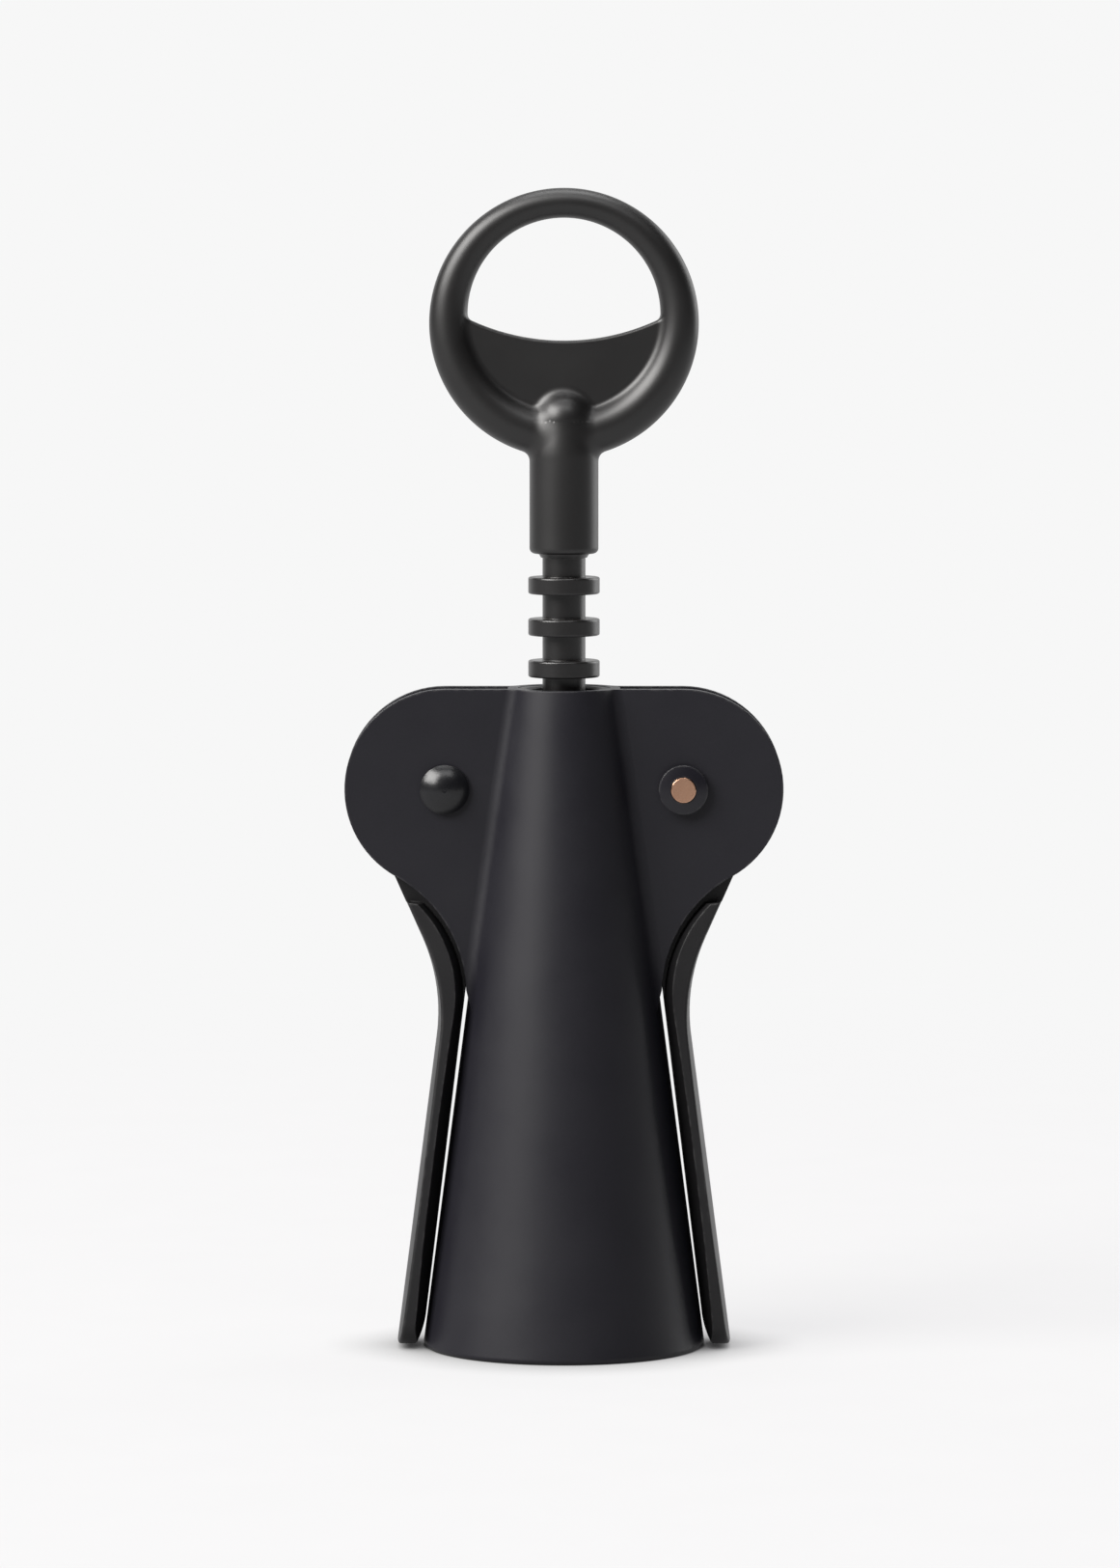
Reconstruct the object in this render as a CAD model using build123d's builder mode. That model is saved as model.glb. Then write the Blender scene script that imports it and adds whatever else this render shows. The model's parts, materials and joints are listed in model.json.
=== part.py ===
from build123d import *
import os
from math import asin, atan, cos, degrees, pi, radians, sin, sqrt, tan

os.makedirs("parts", exist_ok=True)

# Lever corkscrew, millimetres. +Z is up and is the axis of the bell, -Y is the front.
# The origin is the centre of the bell's rim, which the corkscrew stands on.

# Driving dimensions
MODULE = 2.0                 # of the annular rack and of the levers' toothed hubs
BODY_HEIGHT = 100.1
BELL_RADIUS = 21.4           # outside, at the rim
BELL_TOP_RADIUS = 8.5        # outside, at the top edge
PIVOT_X = 18.0
PIVOT_Z = 85.0
LOBE_RADIUS = BODY_HEIGHT - PIVOT_Z  # of the cheeks about the pivots
CHEEK_FACE = 4.0             # half the width over the cheeks
SLOT_HALF = 2.4              # half the gap between the cheeks
RING_CENTRE_Z = 155.1
RING_RADIUS = 20.3
HOLE_CENTRE_Z = 156.4
HOLE_RADIUS = 14.5
STEM_BOTTOM_Z = 120.4
ARM_END_Z = 0.7              # lower end of the lever arms
FINISH_RADIUS = 15.0         # of a wine bottle's mouth

# Running clearances and gaps
RUNNING = 0.06
FIT = 0.02                   # round a pressed pin or spigot
GAP = 0.3

# Rack: rings on a neck, at the pitch that the hub teeth need
RACK_PITCH = pi * MODULE
RACK_RINGS = 7
RACK_RING_RADIUS = 5.4
RACK_RING_HEIGHT = 2.55
RACK_RING_FILLET = 0.3
RACK_NECK_RADIUS = 3.25
TOP_RING_DROP = 4.8          # from the stem's end to the middle of the top ring
RACK_TOP_RING_Z = STEM_BOTTOM_Z - TOP_RING_DROP
RACK_BOTTOM_Z = RACK_TOP_RING_Z - (RACK_RINGS - 1) * RACK_PITCH - RACK_RING_HEIGHT / 2

# Hub: a disc with teeth that have round ends
HUB_PITCH_RADIUS = 14.0
HUB_ROOT_RADIUS = 12.3
HUB_TIP_RADIUS = 14.5
HUB_HALF = 1.8
TOOTH_HALF = 1.12
PIN_RADIUS = 2.5
CAP_RADIUS = 3.72


def bell_radius(z):
    """Outer radius of the bell at height z."""
    return BELL_RADIUS - (BELL_RADIUS - BELL_TOP_RADIUS) * z / BODY_HEIGHT


def on_circle(centre, radius, angle):
    """Point of a circle, with its angle in degrees."""
    return (centre[0] + radius * cos(radians(angle)), centre[1] + radius * sin(radians(angle)))


# The frame casting: a hollow bell with two flat cheeks, which hold the levers between them
WALL = 2.2
CHAMBER_TOP_Z = 60.0
CEILING_Z = 66.0
CHANNEL_RADIUS = 5.9
BUSH_RADIUS = 7.0
BUSH_SEAT_Z = 96.9
SLOT_RADIUS = HUB_TIP_RADIUS + 0.5
CREASE_FILLET = 2.2
RIM_FILLET = 0.7
CHEEK_BLANK_X = 40.0         # the cheeks are cut from a wider plate
CHEEK_BLANK_Z = 40.0
CHEEK_FOOT_Z = 50.0
CHEEK_FOOT_X = 13.6          # inside the bell's wall, so that the cheek runs out into it

pivot = (PIVOT_X, PIVOT_Z)
LOBE_END = -61.0             # angle where the lobe turns into the hollow flank
FLANK_RADIUS = 20.5
FLANK_END = 178.0
flank_centre = on_circle(pivot, LOBE_RADIUS + FLANK_RADIUS, LOBE_END)
lobe_end = on_circle(pivot, LOBE_RADIUS, LOBE_END)
flank_end = on_circle(flank_centre, FLANK_RADIUS, FLANK_END)
flank_middle = on_circle(flank_centre, FLANK_RADIUS, (LOBE_END + 180 + FLANK_END) / 2)

with BuildPart() as bell_core:
    with BuildSketch(Plane.XZ):
        with BuildLine():
            Polyline((0, 0), (BELL_RADIUS, 0), (BELL_TOP_RADIUS, BODY_HEIGHT), (0, BODY_HEIGHT), close=True)
        make_face()
    revolve(axis=Axis.Z)

with BuildPart() as cheeks:
    add(bell_core.part)
    for side in (-1, 1):
        with Locations((0, side * (CHEEK_FACE + SLOT_HALF) / 2, (CHEEK_BLANK_Z + BODY_HEIGHT) / 2)):
            Box(2 * CHEEK_BLANK_X, CHEEK_FACE - SLOT_HALF, BODY_HEIGHT - CHEEK_BLANK_Z)
    outer = [e for e in cheeks.edges().filter_by(GeomType.HYPERBOLA) if abs(e.center().Y) > CHEEK_FACE - 0.1]
    fillet(outer, radius=CREASE_FILLET)
    with BuildSketch(Plane.XZ):
        with BuildLine():
            Line((0, BODY_HEIGHT + 1), (PIVOT_X, BODY_HEIGHT + 1))
            Line((PIVOT_X, BODY_HEIGHT + 1), (PIVOT_X, PIVOT_Z + LOBE_RADIUS))
            ThreePointArc((PIVOT_X, PIVOT_Z + LOBE_RADIUS), on_circle(pivot, LOBE_RADIUS, 15), lobe_end)
            ThreePointArc(lobe_end, flank_middle, flank_end)
            Polyline(flank_end, (CHEEK_FOOT_X, CHEEK_FOOT_Z), (0, CHEEK_FOOT_Z), (0, BODY_HEIGHT + 1))
        make_face()
        mirror(about=Plane.YZ)
    extrude(amount=30, both=True, mode=Mode.INTERSECT)

with BuildPart() as body_casting:
    add(bell_core.part)
    add(cheeks.part)
    # the slots that the toothed hubs turn in
    with BuildSketch(Plane.XZ):
        with Locations((-PIVOT_X, PIVOT_Z), (PIVOT_X, PIVOT_Z)):
            Circle(SLOT_RADIUS)
    extrude(amount=SLOT_HALF, both=True, mode=Mode.SUBTRACT)
    # the hollow: cork chamber, rack channel and the bush's seat
    with BuildSketch(Plane.XZ):
        with BuildLine():
            Polyline(
                (0, -1),
                (bell_radius(-1) - WALL, -1),
                (bell_radius(CHAMBER_TOP_Z) - WALL, CHAMBER_TOP_Z),
                (CHANNEL_RADIUS, CEILING_Z),
                (CHANNEL_RADIUS, BUSH_SEAT_Z),
                (BUSH_RADIUS, BUSH_SEAT_Z),
                (BUSH_RADIUS, BODY_HEIGHT + 1),
                (0, BODY_HEIGHT + 1),
                close=True,
            )
        make_face()
    revolve(axis=Axis.Z, mode=Mode.SUBTRACT)
    # pivot pin holes
    with BuildSketch(Plane.XZ):
        with Locations((-PIVOT_X, PIVOT_Z), (PIVOT_X, PIVOT_Z)):
            Circle(PIN_RADIUS + FIT)
    extrude(amount=CHEEK_FACE + 1, both=True, mode=Mode.SUBTRACT)
    rim = body_casting.edges().filter_by(GeomType.CIRCLE).group_by(Axis.Z)[0].sort_by(SortBy.RADIUS)[-1]
    fillet(rim, radius=RIM_FILLET)
body_casting.part.label = "body_casting"
export_step(body_casting.part, "parts/body_casting.step")

# Collar in the bell's mouth: it centres the bell on the bottle and stops it at the ledge
COLLAR_BOTTOM_Z = 0.9
COLLAR_TOP_Z = 17.0
LEDGE_Z = 14.0
CORK_HOLE_RADIUS = 12.9
NECK_PLAY = 0.4              # round a bottle's mouth
NECK_BORE_RADIUS = FINISH_RADIUS + NECK_PLAY
COLLAR_CHAMFER = 0.8
COLLAR_PLAY = 0.05           # between the collar and the bell's wall

with BuildPart() as bottle_collar:
    with BuildSketch(Plane.XZ):
        with BuildLine():
            Polyline(
                (NECK_BORE_RADIUS + COLLAR_CHAMFER, COLLAR_BOTTOM_Z),
                (bell_radius(COLLAR_BOTTOM_Z) - WALL - COLLAR_PLAY, COLLAR_BOTTOM_Z),
                (bell_radius(COLLAR_TOP_Z) - WALL - COLLAR_PLAY, COLLAR_TOP_Z),
                (CORK_HOLE_RADIUS, COLLAR_TOP_Z),
                (CORK_HOLE_RADIUS, LEDGE_Z),
                (NECK_BORE_RADIUS, LEDGE_Z),
                (NECK_BORE_RADIUS, COLLAR_BOTTOM_Z + COLLAR_CHAMFER),
                close=True,
            )
        make_face()
    revolve(axis=Axis.Z)
bottle_collar.part.label = "bottle_collar"
export_step(bottle_collar.part, "parts/bottle_collar.step")

# Guide bush: a loose ring in the body's top that the rack slides through and turns with
BUSH_SEAT_PLAY = 0.05        # under the bush
BUSH_SINK = 0.1              # of its top below the body's
BUSH_BORE_PLAY = 0.09        # round the rack rings
BUSH_CHAMFER = 0.3

with BuildPart() as guide_bush:
    with BuildSketch(Plane.XY.offset(BUSH_SEAT_Z + BUSH_SEAT_PLAY)):
        Circle(BUSH_RADIUS - RUNNING)
        Circle(RACK_RING_RADIUS + BUSH_BORE_PLAY, mode=Mode.SUBTRACT)
    extrude(amount=BODY_HEIGHT - BUSH_SINK - BUSH_SEAT_Z - BUSH_SEAT_PLAY)
    bore_rims = guide_bush.edges().filter_by(GeomType.CIRCLE).sort_by(SortBy.RADIUS)[0:2]
    chamfer(bore_rims, length=BUSH_CHAMFER)
guide_bush.part.label = "guide_bush"
export_step(guide_bush.part, "parts/guide_bush.step")

# Handle casting: an eccentric ring, the cap opener's web across its lower half, and the stem
RING_SECTIONS = 7
WEB_HALF = 1.4
WEB_DIP_Z = 152.4
WEB_END_Z = 156.3            # where the web's upper edge runs into the ring
STEM_RADIUS = 5.2
DOME_RADIUS = 4.45
SHOULDER_Z = 134.9
DOME_BASE_Z = 140.4
SPIGOT_RADIUS = 3.0
STEM_EDGE = 0.8              # bevel round the stem's lower end
WEB_OVERLAP = 1.2            # of the web into the ring
SPIGOT_TOP_Z = 133.0


def ring_section(angle):
    """Middle radius and tube radius of the ring, seen from the outer circle's centre."""
    rise = HOLE_CENTRE_Z - RING_CENTRE_Z
    inner = rise * sin(radians(angle)) + sqrt(HOLE_RADIUS**2 - (rise * cos(radians(angle))) ** 2)
    return (RING_RADIUS + inner) / 2, (RING_RADIUS - inner) / 2


with BuildPart() as handle:
    for step in range(RING_SECTIONS):
        angle = -90 + 180 * step / (RING_SECTIONS - 1)
        middle, tube = ring_section(angle)
        place = on_circle((0, RING_CENTRE_Z), middle, angle)
        along = (-sin(radians(angle)), 0, cos(radians(angle)))
        with BuildSketch(Plane(origin=(place[0], 0, place[1]), x_dir=(0, 1, 0), z_dir=along)):
            Circle(tube)
    loft()
    mirror(about=Plane.YZ)
    with BuildSketch(Plane.XZ):
        with BuildLine():
            left_end = (-HOLE_RADIUS - WEB_OVERLAP, WEB_END_Z)
            right_end = (HOLE_RADIUS + WEB_OVERLAP, WEB_END_Z)
            ThreePointArc(left_end, (0, WEB_DIP_Z), right_end)
            ThreePointArc(right_end, (0, HOLE_CENTRE_Z - HOLE_RADIUS - WEB_OVERLAP), left_end)
        make_face()
    extrude(amount=WEB_HALF, both=True)
    with BuildSketch(Plane.XZ):
        with BuildLine():
            Polyline(
                (0, STEM_BOTTOM_Z),
                (STEM_RADIUS - STEM_EDGE, STEM_BOTTOM_Z),
                (STEM_RADIUS, STEM_BOTTOM_Z + STEM_EDGE),
                (STEM_RADIUS, SHOULDER_Z),
                (DOME_RADIUS, DOME_BASE_Z),
            )
            ThreePointArc(
                (DOME_RADIUS, DOME_BASE_Z),
                on_circle((0, DOME_BASE_Z), DOME_RADIUS, 45),
                (0, DOME_BASE_Z + DOME_RADIUS),
            )
            Line((0, DOME_BASE_Z + DOME_RADIUS), (0, STEM_BOTTOM_Z))
        make_face()
    revolve(axis=Axis.Z)
    with BuildSketch(Plane.XY.offset(STEM_BOTTOM_Z)):
        Circle(SPIGOT_RADIUS)
    extrude(amount=SPIGOT_TOP_Z - STEM_BOTTOM_Z, mode=Mode.SUBTRACT)
handle.part.label = "handle"
export_step(handle.part, "parts/handle.step")

# Rack shaft: turned rings on a neck, a spigot that the handle is pressed on, a tail for the worm
TAIL_RADIUS = 3.6
TAIL_BOTTOM_Z = 69.0
SHANK_RADIUS = 2.0
SHANK_TOP_Z = 80.0
WORM_PIN_Z = 71.8
WORM_PIN_RADIUS = 0.8
COLLAR_FLARE = 0.6           # cone on the neck just under the handle
PIN_INSET = 0.2              # of the cross pin's ends in the tail

with BuildPart() as rack_shaft:
    with BuildSketch(Plane.XY.offset(TAIL_BOTTOM_Z)):
        Circle(TAIL_RADIUS)
    extrude(amount=RACK_BOTTOM_Z - TAIL_BOTTOM_Z)
    with BuildSketch(Plane.XY.offset(RACK_BOTTOM_Z)):
        Circle(RACK_NECK_RADIUS)
    extrude(amount=STEM_BOTTOM_Z - RACK_BOTTOM_Z)
    with BuildSketch(Plane.XY.offset(STEM_BOTTOM_Z)):
        Circle(SPIGOT_RADIUS - FIT)
    extrude(amount=SPIGOT_TOP_Z - STEM_BOTTOM_Z - GAP)
    with BuildSketch(Plane.XY.offset(STEM_BOTTOM_Z)):
        Circle(RACK_NECK_RADIUS + COLLAR_FLARE)
    extrude(amount=-COLLAR_FLARE, taper=30)
    for ring in range(RACK_RINGS):
        with BuildSketch(Plane.XY.offset(RACK_TOP_RING_Z - ring * RACK_PITCH - RACK_RING_HEIGHT / 2)):
            Circle(RACK_RING_RADIUS)
        extrude(amount=RACK_RING_HEIGHT)
    circles = rack_shaft.edges().filter_by(GeomType.CIRCLE)
    fillet(circles.filter_by(lambda e: abs(e.radius - RACK_RING_RADIUS) < FIT), radius=RACK_RING_FILLET)
    with BuildSketch(Plane.XY.offset(TAIL_BOTTOM_Z)):
        Circle(SHANK_RADIUS + FIT)
    extrude(amount=SHANK_TOP_Z - TAIL_BOTTOM_Z, mode=Mode.SUBTRACT)
    with BuildSketch(Plane.XZ):
        with Locations((0, WORM_PIN_Z)):
            Circle(WORM_PIN_RADIUS + FIT)
    extrude(amount=TAIL_RADIUS + 1, both=True, mode=Mode.SUBTRACT)
rack_shaft.part.label = "rack_shaft"
export_step(rack_shaft.part, "parts/rack_shaft.step")

# Worm: a wire helix with a point, formed on a shank that is pinned in the rack's tail
WIRE_RADIUS = 1.35
HELIX_RADIUS = 3.2
HELIX_PITCH = 9.0
HELIX_TOP_Z = 66.0
HELIX_TURNS = 5
NECK_Z = TAIL_BOTTOM_Z - PIN_INSET
WORM_HEAD_RADIUS = 4.9

with BuildPart() as worm:
    with BuildLine():
        coil = Helix(
            pitch=HELIX_PITCH,
            height=HELIX_PITCH * HELIX_TURNS,
            radius=HELIX_RADIUS,
            center=(0, 0, HELIX_TOP_Z - HELIX_PITCH * HELIX_TURNS),
        )
    with BuildSketch(Plane(origin=coil @ 1, z_dir=coil % 1)):
        Circle(WIRE_RADIUS)
    sweep(path=coil, is_frenet=True)
    with BuildSketch(Plane(origin=coil @ 0, z_dir=-(coil % 0))):
        Circle(WIRE_RADIUS)
    extrude(amount=4.0, taper=16)
    with BuildSketch(Plane.XY.offset(HELIX_TOP_Z - WIRE_RADIUS)):
        Circle(WORM_HEAD_RADIUS)
    extrude(amount=NECK_Z - HELIX_TOP_Z + WIRE_RADIUS)
    with BuildSketch(Plane.XY.offset(NECK_Z)):
        Circle(SHANK_RADIUS)
    extrude(amount=SHANK_TOP_Z - GAP - NECK_Z)
    with BuildSketch(Plane.XZ):
        with Locations((0, WORM_PIN_Z)):
            Circle(WORM_PIN_RADIUS + FIT)
    extrude(amount=TAIL_RADIUS, both=True, mode=Mode.SUBTRACT)
worm.part.label = "worm"
export_step(worm.part, "parts/worm.step")

with BuildPart() as worm_pin:
    with BuildSketch(Plane.XZ):
        with Locations((0, WORM_PIN_Z)):
            Circle(WORM_PIN_RADIUS)
    extrude(amount=TAIL_RADIUS - PIN_INSET, both=True)
worm_pin.part.label = "worm_pin"
export_step(worm_pin.part, "parts/worm_pin.step")

# Levers: toothed hub, thin web and a broad arm that lies along the bell
TEETH = 7
ARM_GAP = 0.14               # from the arm's inner face to the bell, at the rim's height
ARM_GAP_GAIN = 0.34          # more of it at the arm's root
ARM_DEPTH = 4.0              # from the bell to the arm's outer face
ARM_HALF_WIDTH = 7.5
WAIST_Z = 47.5
SHOULDER_RADIUS = 28.0
SHOULDER_LEAN = 24.0         # degrees from upright, above the shoulder's bend
ROOT_Z = 51.0
ROOT_RADIUS = 20.0
ARM_INNER_CROWN = 1.7        # of the inner face, across the arm
ARM_TIP_Z = 67.9
ARM_TIP_DROP = 0.3           # of the tip's inner corner below its outer one
WEB_INSET = 1.5              # of the hub's web from the arm's outer face
WEB_TOP_Z = 76.0
ARM_TOP_HALF = 4.4
ARM_TOP_Z = 70.0
ARM_WIDEST_Z = 34.0
ARM_END_HALF = 6.5
ARM_CORNER = 3.5
ARM_CROWN = 0.7              # of the outer face, across the arm
ARM_OUTER_FILLET = 0.4
ARM_HEEL_HEIGHT = 4.0        # lower inner corner, seen from the front: a slow curve outwards
ARM_HEEL_WIDTH = 1.1
ARM_HEEL_BULGE = 0.25

first_gap_height = RACK_TOP_RING_Z + RACK_PITCH / 2 - PIVOT_Z


def inner_x(z):
    """Inner face of the arm at height z."""
    return bell_radius(z) + ARM_GAP + ARM_GAP_GAIN * z / ROOT_Z


def outer_x(z):
    """Outer face of the arm's straight part at height z."""
    return bell_radius(z) + ARM_DEPTH


tilt = degrees(atan(outer_x(0) - outer_x(1)))
waist = (outer_x(WAIST_Z), WAIST_Z)
shoulder_centre = on_circle(waist, SHOULDER_RADIUS, tilt)
shoulder_middle = on_circle(shoulder_centre, SHOULDER_RADIUS, 180 + (tilt - SHOULDER_LEAN) / 2)
shoulder_top = on_circle(shoulder_centre, SHOULDER_RADIUS, 180 - SHOULDER_LEAN)
inner_tilt = degrees(atan(inner_x(0) - inner_x(1)))
root = (inner_x(ROOT_Z), ROOT_Z)
root_centre = on_circle(root, ROOT_RADIUS, inner_tilt)
root_top_angle = 180 - degrees(asin((ARM_TIP_Z - ARM_TIP_DROP - root_centre[1]) / ROOT_RADIUS))
root_top = on_circle(root_centre, ROOT_RADIUS, root_top_angle)
root_middle = on_circle(root_centre, ROOT_RADIUS, (180 + inner_tilt + root_top_angle) / 2)


def lean_x(z):
    """Outer edge of the leaning part above the shoulder, at height z."""
    return shoulder_top[0] + (z - shoulder_top[1]) * tan(radians(SHOULDER_LEAN))


def along_side(edge):
    """Whether an edge runs along one of the arm's two sides, and not across its thickness."""
    return abs(edge.center().Y) > 3 and edge.bounding_box().size.X < edge.length / 2


def is_outer(edge):
    """Whether an edge is nearer to the arm's outer face than to its inner one."""
    z = edge.center().Z
    return edge.center().X > max(outer_x(z), lean_x(z)) - ARM_DEPTH / 2


def build_arm_blank():
    """Right-hand arm with sharp edges: a crowned bar along the bell, cut to its two outlines."""
    foot = (outer_x(ARM_END_Z - 2), ARM_END_Z - 2)
    with BuildPart() as blank:
        with BuildLine(Plane.XZ) as outer_line:
            straight = Line(foot, waist)
            ThreePointArc(waist, shoulder_middle, shoulder_top)
            Line(shoulder_top, (lean_x(WEB_TOP_Z), WEB_TOP_Z))
        with BuildSketch(Plane(origin=straight @ 0, x_dir=(0, 1, 0), z_dir=straight % 0)):
            with BuildLine():
                side_y = ARM_HALF_WIDTH + 1
                crown = ARM_CROWN * (side_y / ARM_HALF_WIDTH) ** 2
                ThreePointArc((-side_y, crown), (0, 0), (side_y, crown))
                Polyline(
                    (side_y, crown),
                    (side_y, 2.5 * ARM_DEPTH),
                    (-side_y, 2.5 * ARM_DEPTH),
                    (-side_y, crown),
                )
            make_face()
        sweep(path=outer_line.wires()[0])
        with BuildSketch(Plane.XZ):
            with BuildLine():
                Polyline(
                    root,
                    (inner_x(ARM_END_Z), ARM_END_Z),
                    (outer_x(ARM_END_Z) + 1, ARM_END_Z),
                    (outer_x(ARM_END_Z) + 1, ARM_TIP_Z),
                    (lean_x(ARM_TIP_Z), ARM_TIP_Z),
                    root_top,
                )
                ThreePointArc(root_top, root_middle, root)
            make_face()
        extrude(amount=ARM_HALF_WIDTH + 1, both=True, mode=Mode.INTERSECT)
        with BuildSketch(Plane.YZ) as side_view:
            with BuildLine():
                side_top = (ARM_TOP_HALF, ARM_TOP_Z)
                side_bottom = (ARM_END_HALF, ARM_END_Z)
                ThreePointArc(side_top, (ARM_HALF_WIDTH, ARM_WIDEST_Z), side_bottom)
                Polyline(side_bottom, (0, ARM_END_Z), (0, ARM_TOP_Z), side_top)
            make_face()
            mirror(about=Plane.YZ)
            fillet(side_view.vertices().group_by(Axis.Y)[0], radius=ARM_CORNER)
        extrude(amount=2 * PIVOT_X, mode=Mode.INTERSECT)
    return blank.part


def build_arm():
    """Right-hand arm: the blank with its outer edges rounded, a crowned inner face and a heel."""
    blank = build_arm_blank()
    along_root = (-sin(radians(inner_tilt)), 0, cos(radians(inner_tilt)))
    across_root = (-cos(radians(inner_tilt)), 0, -sin(radians(inner_tilt)))
    root_plane = Plane(origin=(root_centre[0], 0, root_centre[1]), x_dir=across_root, z_dir=along_root)
    with BuildSketch(root_plane) as crown_section:
        with BuildLine():
            crown_edge = ROOT_RADIUS - ARM_INNER_CROWN
            ThreePointArc((crown_edge, -ARM_HALF_WIDTH), (ROOT_RADIUS, 0), (crown_edge, ARM_HALF_WIDTH))
            Polyline(
                (crown_edge, ARM_HALF_WIDTH),
                (0, ARM_HALF_WIDTH),
                (0, -ARM_HALF_WIDTH),
                (crown_edge, -ARM_HALF_WIDTH),
            )
        make_face()
    root_axis = Axis((root_centre[0], 0, root_centre[1]), (0, 1, 0))
    with BuildPart() as crown:
        extrude(crown_section.sketch, amount=-ROOT_Z - 3)
        revolve(crown_section.sketch, axis=root_axis, revolution_arc=90)
    with BuildPart() as arm:
        add(blank)
        fillet(arm.edges().filter_by(lambda e: along_side(e) and is_outer(e)), ARM_OUTER_FILLET)
        add(crown.part, mode=Mode.INTERSECT)
        heel_top = (inner_x(ARM_END_Z + ARM_HEEL_HEIGHT), ARM_END_Z + ARM_HEEL_HEIGHT)
        heel_end = (inner_x(ARM_END_Z) + ARM_HEEL_WIDTH, ARM_END_Z)
        heel_middle = ((heel_top[0] + heel_end[0]) / 2 - ARM_HEEL_BULGE, ARM_END_Z + ARM_HEEL_HEIGHT / 2)
        with BuildSketch(Plane.XZ):
            with BuildLine():
                ThreePointArc(heel_top, heel_middle, heel_end)
                Polyline(
                    heel_end,
                    (heel_end[0], ARM_END_Z - 1),
                    (heel_top[0] - 2, ARM_END_Z - 1),
                    (heel_top[0] - 2, heel_top[1]),
                    heel_top,
                )
            make_face()
        extrude(amount=2 * ARM_HALF_WIDTH, both=True, mode=Mode.SUBTRACT)
    return arm.part


def build_lever(side):
    """Lever on one side: side is -1 for the left one and 1 for the right one."""
    arm = build_arm()
    with BuildPart() as lever:
        add(arm)
        with BuildSketch(Plane.XZ):
            with Locations((PIVOT_X, PIVOT_Z)):
                Circle(HUB_ROOT_RADIUS)
            for tooth in range(TEETH):
                turn = (first_gap_height - tooth * RACK_PITCH) / HUB_PITCH_RADIUS
                with Locations(Location((PIVOT_X, PIVOT_Z), 180 - degrees(turn))):
                    with Locations((HUB_TIP_RADIUS - TOOTH_HALF - 2, 0)):
                        Rectangle(4, 2 * TOOTH_HALF)
                    with Locations((HUB_TIP_RADIUS - TOOTH_HALF, 0)):
                        Circle(TOOTH_HALF)
            with BuildLine():
                Polyline(
                    (inner_x(WEB_TOP_Z), WEB_TOP_Z),
                    (lean_x(WEB_TOP_Z), WEB_TOP_Z),
                    (lean_x(ARM_TIP_Z), ARM_TIP_Z),
                    (shoulder_top[0] - WEB_INSET, shoulder_top[1]),
                    (waist[0] - WEB_INSET, ROOT_Z),
                    root,
                    close=True,
                )
            make_face()
        extrude(amount=HUB_HALF, both=True)
        with BuildSketch(Plane.XZ):
            with Locations((PIVOT_X, PIVOT_Z)):
                Circle(PIN_RADIUS + RUNNING)
        extrude(amount=HUB_HALF + 1, both=True, mode=Mode.SUBTRACT)
        if side < 0:
            mirror(about=Plane.YZ, mode=Mode.REPLACE)
    return lever.part


for name, side in (("left_lever", -1), ("right_lever", 1)):
    lever_part = build_lever(side)
    lever_part.label = name
    export_step(lever_part, f"parts/{name}.step")

# Pivots: a pin through both cheeks, a cap on each end, and a washer on each side of the hub
PIN_END = CHEEK_FACE + 1.0
CAP_BORE_DEPTH = 1.1
CAP_EDGE = 0.7               # height of a cap's side wall below its dome
DOME_HEIGHT = 2.3
DISC_EDGE = 1.3
DISC_HEIGHT = 1.8
WASHER_RADIUS = 4.6
WASHER_THICKNESS = 0.45
WASHER_PLAY = 0.03           # between a washer and its cheek
BADGE_RADIUS = 1.9
BADGE_THICKNESS = 0.45
BADGE_FILLET = 0.12
BADGE_FLOOR_RISE = 0.15      # of the recess's floor above the cap's side wall
BADGE_FLOOR = CHEEK_FACE + DISC_EDGE + BADGE_FLOOR_RISE


def build_cap(x, facing, edge, height):
    """Cap on a pivot pin's end: facing is -1 at the front and 1 at the back."""
    seat = facing * CHEEK_FACE
    rise = height - edge
    crown_radius = (CAP_RADIUS**2 + rise**2) / (2 * rise)
    half_way = rise - crown_radius + sqrt(crown_radius**2 - CAP_RADIUS**2 / 4)
    with BuildPart() as cap:
        with BuildSketch(Plane(origin=(x, 0, PIVOT_Z), x_dir=(1, 0, 0), z_dir=(0, 0, 1))):
            with BuildLine():
                Polyline((PIN_RADIUS + FIT, seat), (CAP_RADIUS, seat), (CAP_RADIUS, seat + facing * edge))
                ThreePointArc(
                    (CAP_RADIUS, seat + facing * edge),
                    (CAP_RADIUS / 2, seat + facing * (edge + half_way)),
                    (0, seat + facing * height),
                )
                Polyline(
                    (0, seat + facing * height),
                    (0, seat + facing * CAP_BORE_DEPTH),
                    (PIN_RADIUS + FIT, seat + facing * CAP_BORE_DEPTH),
                    (PIN_RADIUS + FIT, seat),
                )
            make_face()
        revolve(axis=Axis((x, 0, PIVOT_Z), (0, 1, 0)))
    return cap.part


def build_badge():
    """Plain round inlay in the front of the flat cap."""
    with BuildPart() as badge:
        with BuildSketch(Plane.XZ.offset(BADGE_FLOOR)):
            with Locations((PIVOT_X, PIVOT_Z)):
                Circle(BADGE_RADIUS)
        extrude(amount=BADGE_THICKNESS)
        fillet(badge.faces().sort_by(Axis.Y)[0].edges(), radius=BADGE_FILLET)
    return badge.part


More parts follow.
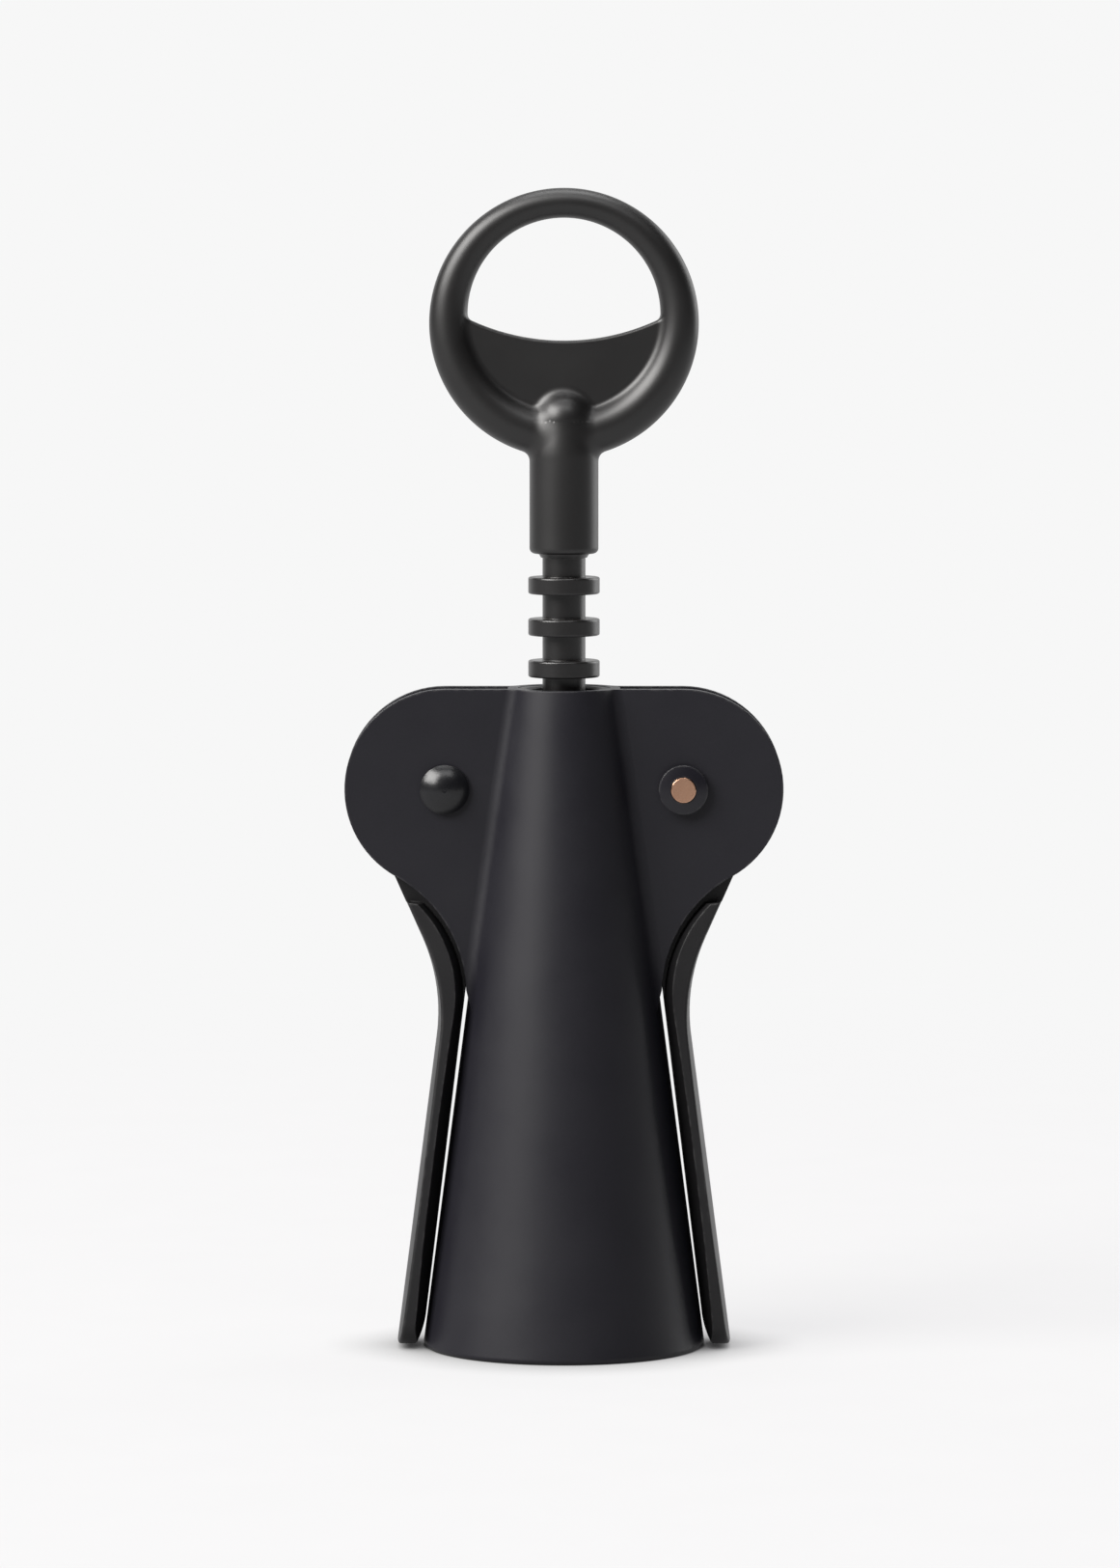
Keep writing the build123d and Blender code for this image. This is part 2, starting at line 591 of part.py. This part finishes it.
for name, x in (("left", -PIVOT_X), ("right", PIVOT_X)):
    with BuildPart() as pivot_pin:
        with BuildSketch(Plane.XZ):
            with Locations((x, PIVOT_Z)):
                Circle(PIN_RADIUS)
        extrude(amount=PIN_END, both=True)
    pivot_pin.part.label = f"{name}_pivot_pin"
    export_step(pivot_pin.part, f"parts/{name}_pivot_pin.step")

    rear_cap = build_cap(x, 1, CAP_EDGE, DOME_HEIGHT)
    rear_cap.label = f"{name}_rear_cap"
    export_step(rear_cap, f"parts/{name}_rear_cap.step")

    for end, facing in (("front", -1), ("rear", 1)):
        with BuildPart() as washer:
            with BuildSketch(Plane.XZ.offset(-facing * (SLOT_HALF - WASHER_PLAY))):
                with Locations((x, PIVOT_Z)):
                    Circle(WASHER_RADIUS)
                    Circle(PIN_RADIUS + RUNNING, mode=Mode.SUBTRACT)
            extrude(amount=facing * WASHER_THICKNESS)
        washer.part.label = f"{name}_{end}_washer"
        export_step(washer.part, f"parts/{name}_{end}_washer.step")

left_front_cap = build_cap(-PIVOT_X, -1, CAP_EDGE, DOME_HEIGHT)
left_front_cap.label = "left_front_cap"
export_step(left_front_cap, "parts/left_front_cap.step")

with BuildPart() as right_front_cap:
    add(build_cap(PIVOT_X, -1, DISC_EDGE, DISC_HEIGHT))
    with BuildSketch(Plane.XZ.offset(BADGE_FLOOR)):
        with Locations((PIVOT_X, PIVOT_Z)):
            Circle(BADGE_RADIUS + FIT)
    extrude(amount=DISC_HEIGHT, mode=Mode.SUBTRACT)
right_front_cap.part.label = "right_front_cap"
export_step(right_front_cap.part, "parts/right_front_cap.step")

badge_inlay = build_badge()
badge_inlay.label = "badge_inlay"
export_step(badge_inlay, "parts/badge_inlay.step")
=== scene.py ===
import json
import math

import bpy
import numpy as np
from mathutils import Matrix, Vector


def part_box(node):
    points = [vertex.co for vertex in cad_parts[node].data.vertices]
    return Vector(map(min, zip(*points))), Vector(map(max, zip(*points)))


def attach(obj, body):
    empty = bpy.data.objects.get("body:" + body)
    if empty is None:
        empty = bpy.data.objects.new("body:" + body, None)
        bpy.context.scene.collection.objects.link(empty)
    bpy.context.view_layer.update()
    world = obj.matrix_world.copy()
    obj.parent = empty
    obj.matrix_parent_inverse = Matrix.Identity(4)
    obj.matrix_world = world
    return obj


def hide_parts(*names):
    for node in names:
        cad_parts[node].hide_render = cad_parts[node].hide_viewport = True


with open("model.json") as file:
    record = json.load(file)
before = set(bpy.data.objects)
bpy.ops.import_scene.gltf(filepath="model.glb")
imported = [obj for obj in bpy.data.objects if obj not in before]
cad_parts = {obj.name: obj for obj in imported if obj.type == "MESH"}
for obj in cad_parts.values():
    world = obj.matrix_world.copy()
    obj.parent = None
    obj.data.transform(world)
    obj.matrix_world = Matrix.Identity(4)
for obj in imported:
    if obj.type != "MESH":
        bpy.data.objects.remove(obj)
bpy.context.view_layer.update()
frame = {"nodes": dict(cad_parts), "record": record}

nodes = frame["nodes"]
MM = 0.001

# ---------------------------------------------------------------- materials

NOISE_LOW, NOISE_HIGH = 0.3, 0.7       # the range in which most of a noise texture lies
CLOUD_SCALE = 90.0                     # noise scales are in cycles per metre
PATCH_SCALE = 700.0
SCUFF_SCALE = 1400.0
PATCH_RANGE = (0.42, 0.62)             # noise from no wear to full wear on an edge
SCUFF_RANGE = (0.66, 0.78)             # and on a surface without edges
SCUFF_SHARE = 0.35
EDGE_COSINES = (0.82, 0.985)           # of the turn between face and softened face: worn, not worn
WEAR_REACH = 2.2                       # of worn edges, in radii of the softened edge
BEVEL_SAMPLES = 4


def new_material(name):
    """Empty node material and its tree."""
    material = bpy.data.materials.new(name)
    material.use_nodes = True
    material.node_tree.nodes.clear()
    return material, material.node_tree


def add(tree, kind, **values):
    """Adds a shader node. Values set its inputs by name, or its properties if it has no such input."""
    node = tree.nodes.new(kind)
    for key, value in values.items():
        label = key.replace("_", " ")
        if label in node.inputs:
            node.inputs[label].default_value = value
        else:
            setattr(node, key, value)
    return node


def noise(tree, coordinates, scale, detail=3.0, rough=0.55):
    """Noise texture."""
    texture = add(tree, "ShaderNodeTexNoise", Scale=scale, Detail=detail, Roughness=rough)
    tree.links.new(coordinates, texture.inputs["Vector"])
    return texture.outputs["Fac"]


def map_range(tree, value, low, high, from_low=NOISE_LOW, from_high=NOISE_HIGH):
    """Maps a value, by default a noise, to a range, clamped."""
    node = add(tree, "ShaderNodeMapRange")
    node.inputs["From Min"].default_value = from_low
    node.inputs["From Max"].default_value = from_high
    node.inputs["To Min"].default_value = low
    node.inputs["To Max"].default_value = high
    tree.links.new(value, node.inputs["Value"])
    return node.outputs["Result"]


def blend_colors(tree, factor, first, second):
    """Mixes two colours, which may be constants or sockets, by a factor socket."""
    node = add(tree, "ShaderNodeMix", data_type="RGBA")
    tree.links.new(factor, node.inputs["Factor"])
    for socket, value in ((node.inputs[6], first), (node.inputs[7], second)):
        if isinstance(value, tuple):
            socket.default_value = (*value, 1.0)
        else:
            tree.links.new(value, socket)
    return node.outputs[2]


def edge_wear(tree, place, edge):
    """Mask of the worn edges of sharp-cornered pieces, broken up by noise."""
    wide = add(tree, "ShaderNodeBevel", samples=BEVEL_SAMPLES, Radius=WEAR_REACH * edge * MM)
    geometry = add(tree, "ShaderNodeNewGeometry")
    cosine = add(tree, "ShaderNodeVectorMath", operation="DOT_PRODUCT")
    tree.links.new(wide.outputs["Normal"], cosine.inputs[0])
    tree.links.new(geometry.outputs["Normal"], cosine.inputs[1])
    rim = map_range(tree, cosine.outputs["Value"], 1.0, 0.0, *EDGE_COSINES)
    patchy = map_range(tree, noise(tree, place, PATCH_SCALE), 0.0, 1.0, *PATCH_RANGE)
    wear = add(tree, "ShaderNodeMath", operation="MULTIPLY")
    tree.links.new(rim, wear.inputs[0])
    tree.links.new(patchy, wear.inputs[1])
    return wear.outputs[0]


def coated(
    name, color, tint, rough, grain, grain_height, worn, edge=0.25, metallic=0.0, specular=0.265
):
    """Coated or bare surface: fine grain in the bump, cloudy roughness, softened and paler worn edges.

    The colour runs from color to tint with the grain, and is worn where it has rubbed. grain is in cycles
    per metre, grain_height and edge are in millimetres, and rough is the lowest and highest roughness. With
    edge 0 no edge is softened, and the wear is small scuffs all over.
    """
    material, tree = new_material(name)
    place = add(tree, "ShaderNodeTexCoord").outputs["Object"]
    shader = add(tree, "ShaderNodeBsdfPrincipled", Metallic=metallic)
    shader.inputs["Specular IOR Level"].default_value = specular
    clouds = noise(tree, place, CLOUD_SCALE)
    fine = noise(tree, place, grain, detail=4.0, rough=0.6)
    tree.links.new(map_range(tree, clouds, *rough), shader.inputs["Roughness"])
    paint = blend_colors(tree, map_range(tree, fine, 0.0, 1.0), color, tint)
    bump = add(tree, "ShaderNodeBump", Strength=1.0, Distance=grain_height * MM)
    tree.links.new(fine, bump.inputs["Height"])
    if edge:
        wear = edge_wear(tree, place, edge)
        rounded = add(tree, "ShaderNodeBevel", samples=BEVEL_SAMPLES, Radius=edge * MM)
        tree.links.new(rounded.outputs["Normal"], bump.inputs["Normal"])
    else:
        wear = map_range(tree, noise(tree, place, SCUFF_SCALE), 0.0, SCUFF_SHARE, *SCUFF_RANGE)
    tree.links.new(blend_colors(tree, wear, paint, worn), shader.inputs["Base Color"])
    tree.links.new(bump.outputs["Normal"], shader.inputs["Normal"])
    output = add(tree, "ShaderNodeOutputMaterial")
    tree.links.new(shader.outputs["BSDF"], output.inputs["Surface"])
    return material


powder_coat = coated(
    "fine_black_powder_coat", color=(0.0052, 0.0049, 0.0072), tint=(0.0072, 0.0068, 0.0098),
    rough=(0.41, 0.49), grain=5200.0, grain_height=0.006, worn=(0.040, 0.039, 0.041),
)
lever_coat = coated(
    "fine_black_lever_coat", color=(0.0053, 0.0051, 0.0056), tint=(0.0073, 0.0070, 0.0077),
    rough=(0.41, 0.49), grain=5200.0, grain_height=0.006, worn=(0.040, 0.039, 0.040),
)
handle_coat = coated(
    "satin_black_handle", color=(0.0030, 0.0027, 0.0028), tint=(0.0042, 0.0038, 0.0039),
    rough=(0.38, 0.44), grain=4200.0, grain_height=0.0015, worn=(0.012, 0.011, 0.0105),
    edge=0.0, specular=0.46,
)
rack_coat = coated(
    "satin_black_rack", color=(0.0034, 0.0030, 0.0031), tint=(0.0048, 0.0043, 0.0045),
    rough=(0.28, 0.36), grain=4200.0, grain_height=0.004, worn=(0.050, 0.046, 0.044),
    edge=0.14, specular=0.50,
)
gloss_enamel = coated(
    "gloss_black_enamel", color=(0.0034, 0.0034, 0.0044), tint=(0.0046, 0.0046, 0.0056),
    rough=(0.25, 0.30), grain=1700.0, grain_height=0.020, worn=(0.020, 0.020, 0.022),
    edge=0.0, specular=0.36,
)
cap_black = coated(
    "satin_black_cap", color=(0.0050, 0.0047, 0.0068), tint=(0.0066, 0.0062, 0.0088),
    rough=(0.27, 0.34), grain=4200.0, grain_height=0.004, worn=(0.040, 0.039, 0.041), specular=0.30,
)
worm_coat = coated(
    "slick_black_worm", color=(0.0110, 0.0110, 0.0115), tint=(0.0150, 0.0150, 0.0155),
    rough=(0.22, 0.32), grain=3000.0, grain_height=0.003, worn=(0.10, 0.10, 0.10),
)
copper = coated(
    "copper_inlay", color=(0.445, 0.246, 0.161), tint=(0.50, 0.30, 0.205),
    rough=(0.18, 0.26), grain=6000.0, grain_height=0.003, worn=(0.82, 0.52, 0.38),
    edge=0.08, metallic=1.0,
)
steel = coated(
    "drawn_steel", color=(0.42, 0.42, 0.43), tint=(0.55, 0.55, 0.56),
    rough=(0.26, 0.38), grain=6000.0, grain_height=0.003, worn=(0.7, 0.7, 0.7), metallic=1.0,
)
nylon = coated(
    "black_nylon", color=(0.022, 0.022, 0.023), tint=(0.030, 0.030, 0.031),
    rough=(0.48, 0.60), grain=2600.0, grain_height=0.010, worn=(0.06, 0.06, 0.06),
)
moulded = coated(
    "moulded_black_plastic", color=(0.018, 0.018, 0.019), tint=(0.024, 0.024, 0.025),
    rough=(0.42, 0.55), grain=1800.0, grain_height=0.015, worn=(0.05, 0.05, 0.05),
)

BY_SLOT = {
    "black_powder_coat": powder_coat,
    "handle_coat": handle_coat,
    "rack_coat": rack_coat,
    "worm_coat": worm_coat,
    "gloss_black_enamel": gloss_enamel,
    "cap_black": cap_black,
    "copper_inlay": copper,
    "pin_steel": steel,
    "washer_nylon": nylon,
    "bush_nylon": nylon,
    "collar_plastic": moulded,
}
# The levers share the body's powder coat in the record, but theirs is a more neutral black.
BY_NODE = {"left_lever": lever_coat, "right_lever": lever_coat}

for entry in frame["record"]["subparts"]:
    piece = nodes[entry["node"]]
    piece.data.materials.clear()
    piece.data.materials.append(BY_NODE.get(entry["node"], BY_SLOT[entry["material_slot"]]))

# ---------------------------------------------------------------- handle casting

# The CAD handle has sharp inner corners. The casting is the same shape with its corners flowing into each
# other: the CAD mesh is remeshed evenly, and its points are then moved onto a smoothly blended surface.
# All lengths in this section are millimetres.

RING_RADIUS = 20.3
HOLE_RADIUS = 14.5
HOLE_RISE = 1.3              # of the hole's centre over the ring's centre
WEB_HALF = 1.4
WEB_SAG_RADIUS = 33.5        # of the web's upper edge
WEB_EDGE = 0.45
WEB_MARGIN = 2.2             # from the web's hidden rim to the outside of the ring
WEB_DIP = 22.95              # from the top of the ring down to the middle of the web's upper edge
STEM_RADIUS = 5.2
STEM_EDGE = 0.8
DOME_RADIUS = 4.45
TAPER_START = 14.5           # above the stem's end
TAPER_END = 21.5
DOME_HEIGHT = 20.0
SPIGOT_RADIUS = 3.0
SPIGOT_DEPTH = 12.6
WEB_BLEND = 0.7              # fillet between ring and web
STEM_BLEND = 1.2             # fillet between stem and both

VOXEL = 0.3                  # of the even mesh
MOVE_STEP = 0.01             # over which the slope is measured to move a point
NORMAL_STEP = 0.08           # and to find its normal, so that fine creases don't show
LONGEST_MOVE = 0.4
LEAST_SLOPE_SQUARED = 0.25
FIRST_ROUNDS = 6
RELAX_ROUNDS = 6
SETTLE_ROUNDS = 2

handle_low, handle_high = (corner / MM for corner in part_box("handle"))
ring_z = handle_high.z - RING_RADIUS
hole_z = ring_z + HOLE_RISE
web_z = handle_high.z - WEB_DIP
stem_z = handle_low.z


def smooth_step(value):
    """Smooth ramp from 0 to 1."""
    t = np.clip(value, 0.0, 1.0)
    return t * t * (3 - 2 * t)


def blend_min(first, second, width):
    """Union of two distances, with a fillet about as large as width."""
    share = np.clip(0.5 + 0.5 * (second - first) / width, 0.0, 1.0)
    return second + (first - second) * share - width * share * (1 - share)


def rounded_corner(first, second):
    """Distance to the corner where two surfaces meet, round on the outside."""
    outside = np.hypot(np.maximum(first, 0), np.maximum(second, 0))
    return outside + np.minimum(np.maximum(first, second), 0)


def handle_distance(points):
    """Distance to the handle's surface, negative inside."""
    x, y, z = points.T
    inside_rim = RING_RADIUS - np.hypot(x, z - ring_z)
    outside_hole = np.hypot(x, z - hole_z) - HOLE_RADIUS
    ring = np.hypot((inside_rim - outside_hole) / 2, y) - (inside_rim + outside_hole) / 2

    upper_edge = WEB_SAG_RADIUS - np.hypot(x, z - web_z - WEB_SAG_RADIUS)
    rim = np.hypot(x, z - ring_z) - RING_RADIUS + WEB_MARGIN
    edge = np.maximum(upper_edge, rim) + WEB_EDGE
    face = np.abs(y) - WEB_HALF + WEB_EDGE
    web = rounded_corner(edge, face) - WEB_EDGE

    radial = np.hypot(x, y)
    height = z - stem_z
    taper = smooth_step((height - TAPER_START) / (TAPER_END - TAPER_START))
    side = radial - STEM_RADIUS + (STEM_RADIUS - DOME_RADIUS) * taper
    dome = np.hypot(radial, height - DOME_HEIGHT) - DOME_RADIUS
    side = np.where(height > DOME_HEIGHT, np.maximum(dome, side), side) + STEM_EDGE
    end = STEM_EDGE - height
    stem = rounded_corner(side, end) - STEM_EDGE

    plate = blend_min(ring, web, WEB_BLEND)
    body = blend_min(plate, stem, STEM_BLEND)
    bore = np.maximum(radial - SPIGOT_RADIUS, height - SPIGOT_DEPTH)
    return np.maximum(body, -bore)


def slope_of(points, distance, step):
    """Gradient of a distance function."""
    sides = [distance(points + step * axis) - distance(points - step * axis) for axis in np.eye(3)]
    return np.stack(sides, axis=1) / (2 * step)


def onto_surface(points, distance, rounds):
    """Moves points onto the zero surface of a distance function."""
    for _ in range(rounds):
        here = distance(points)
        slope = slope_of(points, distance, MOVE_STEP)
        slope /= np.maximum((slope**2).sum(axis=1, keepdims=True), LEAST_SLOPE_SQUARED)
        points = points - slope * np.clip(here, -LONGEST_MOVE, LONGEST_MOVE)[:, None]
    return points


def relaxed(points, edges):
    """Moves each point halfway to the mean of its neighbours."""
    total = np.zeros_like(points)
    count = np.zeros(len(points))
    for a, b in ((edges[:, 0], edges[:, 1]), (edges[:, 1], edges[:, 0])):
        np.add.at(total, a, points[b])
        np.add.at(count, a, 1)
    return (points + total / count[:, None]) / 2


def remeshed(name, node, voxel):
    """Copy of a CAD node as an even mesh of small squares."""
    piece = bpy.data.objects.new(name, nodes[node].data.copy())
    bpy.context.scene.collection.objects.link(piece)
    remesh = piece.modifiers.new("remesh", "REMESH")
    remesh.mode = "VOXEL"
    remesh.voxel_size = voxel * MM
    evaluated = piece.evaluated_get(bpy.context.evaluated_depsgraph_get())
    mesh = bpy.data.meshes.new_from_object(evaluated)
    piece.modifiers.clear()
    piece.data = mesh
    mesh.name = name
    return piece


def build_handle():
    """Handle casting in place of the CAD handle."""
    piece = remeshed("handle_casting", "handle", VOXEL)
    mesh = piece.data
    flat = np.zeros(len(mesh.vertices) * 3)
    mesh.vertices.foreach_get("co", flat)
    points = flat.reshape(-1, 3) / MM
    ends = np.zeros(len(mesh.edges) * 2, dtype=np.int32)
    mesh.edges.foreach_get("vertices", ends)
    edges = ends.reshape(-1, 2)
    points = onto_surface(points, handle_distance, FIRST_ROUNDS)
    for _ in range(RELAX_ROUNDS):
        points = onto_surface(relaxed(points, edges), handle_distance, SETTLE_ROUNDS)
    mesh.vertices.foreach_set("co", (points * MM).ravel())
    mesh.shade_smooth()
    mesh.update()
    normals = slope_of(points, handle_distance, NORMAL_STEP)
    normals /= np.linalg.norm(normals, axis=1, keepdims=True)
    mesh.normals_split_custom_set_from_vertices(normals)
    mesh.materials.clear()
    mesh.materials.append(handle_coat)
    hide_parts("handle")
    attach(piece, "plunger")


build_handle()

# ---------------------------------------------------------------- floor and backdrop

SWEEP_FRONT = -1.5
SWEEP_START = 1.2                      # where the floor begins to curve up
SWEEP_RADIUS = 0.9
SWEEP_STEPS = 24
SWEEP_HALF_WIDTH = 3.0
SWEEP_TOP = 3.0
BACKDROP = (0.930, 0.930, 0.930)       # evenly lit paper, away from the object
NEAR_GLOW = (0.740, 0.733, 0.745)      # emitted glow standing in for the light from all round near the object; occlusion dims it into a painted contact shadow
NEAR_PAPER = (0.075, 0.076, 0.0735)    # what the lamps light near the object, where shadows show
NEAR_PAPER_TINT = (0.078, 0.079, 0.0765)
PAPER_GRAIN = 60.0                     # cycles per metre
PAINTED_SHADOW_REACH = 0.012                  # of the painted contact shadow, a dark rim painted where the object stands
PAINTED_SHADOW_SAMPLES = 8
NEAR_REACH = 0.22                      # near the object up to here, away from it from the next
FAR_REACH = 0.50


def build_sweep():
    """Pale floor that curves up into the wall behind."""
    profile = [(SWEEP_FRONT, 0.0), (SWEEP_START, 0.0)]
    for step in range(1, SWEEP_STEPS + 1):
        angle = math.radians(90.0 * step / SWEEP_STEPS)
        profile.append((SWEEP_START + SWEEP_RADIUS * math.sin(angle), SWEEP_RADIUS * (1 - math.cos(angle))))
    profile.append((SWEEP_START + SWEEP_RADIUS, SWEEP_TOP))
    points = [(x, y, z) for y, z in profile for x in (-SWEEP_HALF_WIDTH, SWEEP_HALF_WIDTH)]
    faces = [(2 * i, 2 * i + 1, 2 * i + 3, 2 * i + 2) for i in range(len(profile) - 1)]
    mesh = bpy.data.meshes.new("floor")
    mesh.from_pydata(points, [], faces)
    mesh.shade_smooth()
    floor = bpy.data.objects.new("floor", mesh)
    bpy.context.scene.collection.objects.link(floor)
    material, tree = new_material("pale_paper")
    place = add(tree, "ShaderNodeTexCoord").outputs["Object"]
    grain = map_range(tree, noise(tree, place, PAPER_GRAIN), 0.0, 1.0)
    paper = add(tree, "ShaderNodeBsdfDiffuse")
    tree.links.new(blend_colors(tree, grain, NEAR_PAPER, NEAR_PAPER_TINT), paper.inputs["Color"])
    glow = add(tree, "ShaderNodeEmission", Strength=1.0)
    # Ambient occlusion dims the floor's glow where the object stands: a painted contact shadow, not one
    # cast by the lamps.
    painted_contact_shadow = add(tree, "ShaderNodeAmbientOcclusion", samples=PAINTED_SHADOW_SAMPLES, Distance=PAINTED_SHADOW_REACH)
    painted_contact_shadow.inputs["Color"].default_value = (*NEAR_GLOW, 1.0)
    tree.links.new(painted_contact_shadow.outputs["Color"], glow.inputs["Color"])
    near = add(tree, "ShaderNodeAddShader")
    tree.links.new(paper.outputs[0], near.inputs[0])
    tree.links.new(glow.outputs[0], near.inputs[1])
    far = add(tree, "ShaderNodeEmission", Color=(*BACKDROP, 1.0), Strength=1.0)
    distance = add(tree, "ShaderNodeVectorMath", operation="LENGTH")
    tree.links.new(place, distance.inputs[0])
    away = map_range(tree, distance.outputs["Value"], 0.0, 1.0, NEAR_REACH, FAR_REACH)
    whole = add(tree, "ShaderNodeMixShader")
    tree.links.new(away, whole.inputs[0])
    tree.links.new(near.outputs[0], whole.inputs[1])
    tree.links.new(far.outputs[0], whole.inputs[2])
    output = add(tree, "ShaderNodeOutputMaterial")
    tree.links.new(whole.outputs[0], output.inputs["Surface"])
    mesh.materials.append(material)


build_sweep()

# ---------------------------------------------------------------- camera

FOCAL_PIXELS = 8475.0
IMAGE_HEIGHT = 1625.0                  # pixels
SENSOR_HEIGHT = 24.0                   # millimetres
CAMERA_DISTANCE = 1.232
CAMERA_HEIGHT = 0.1881
AIM = Vector((-0.0006, 0.0, 0.0855))

camera_data = bpy.data.cameras.new("camera")
camera_data.sensor_fit = "VERTICAL"
camera_data.sensor_height = SENSOR_HEIGHT
camera_data.lens = SENSOR_HEIGHT * FOCAL_PIXELS / IMAGE_HEIGHT
camera_data.clip_start = 0.05
camera_data.clip_end = 20.0
camera = bpy.data.objects.new("camera", camera_data)
camera.location = (AIM.x, -CAMERA_DISTANCE, CAMERA_HEIGHT)
camera.rotation_euler = (AIM - camera.location).to_track_quat("-Z", "Y").to_euler()
bpy.context.scene.collection.objects.link(camera)
bpy.context.scene.camera = camera

# ---------------------------------------------------------------- light

LIT_POINT = (0.0, 0.0, 0.08)
WARM = (1.0, 0.985, 0.965)
ROOM_COLOR = (0.9, 0.9, 0.92, 1.0)
ROOM_STRENGTH = 0.06


def softbox(name, place, width, height, watts, color=(1.0, 1.0, 1.0)):
    """Rectangular area light that points at the object."""
    data = bpy.data.lights.new(name, "AREA")
    data.shape = "RECTANGLE"
    data.size = width
    data.size_y = height
    data.energy = watts
    data.color = color
    light = bpy.data.objects.new(name, data)
    light.location = place
    light.rotation_euler = (Vector(LIT_POINT) - Vector(place)).to_track_quat("-Z", "Y").to_euler()
    bpy.context.scene.collection.objects.link(light)


softbox("key", (-1.93, -1.27, 1.82), width=2.2, height=1.8, watts=226.0, color=WARM)
softbox("front", (0.1, -1.4, 2.2), width=2.0, height=0.9, watts=24.0)
softbox("top", (0.0, 0.3, 2.2), width=1.6, height=1.2, watts=36.0)
softbox("right", (1.6, 1.1, 0.6), width=1.2, height=1.6, watts=18.0)
softbox("left", (-1.0, 1.9, 0.5), width=0.8, height=1.4, watts=3.0)

world = bpy.data.worlds.new("studio")
world.use_nodes = True
background = world.node_tree.nodes["Background"]
background.inputs["Color"].default_value = ROOM_COLOR
background.inputs["Strength"].default_value = ROOM_STRENGTH
bpy.context.scene.world = world
bpy.context.scene.view_settings.view_transform = "Standard"
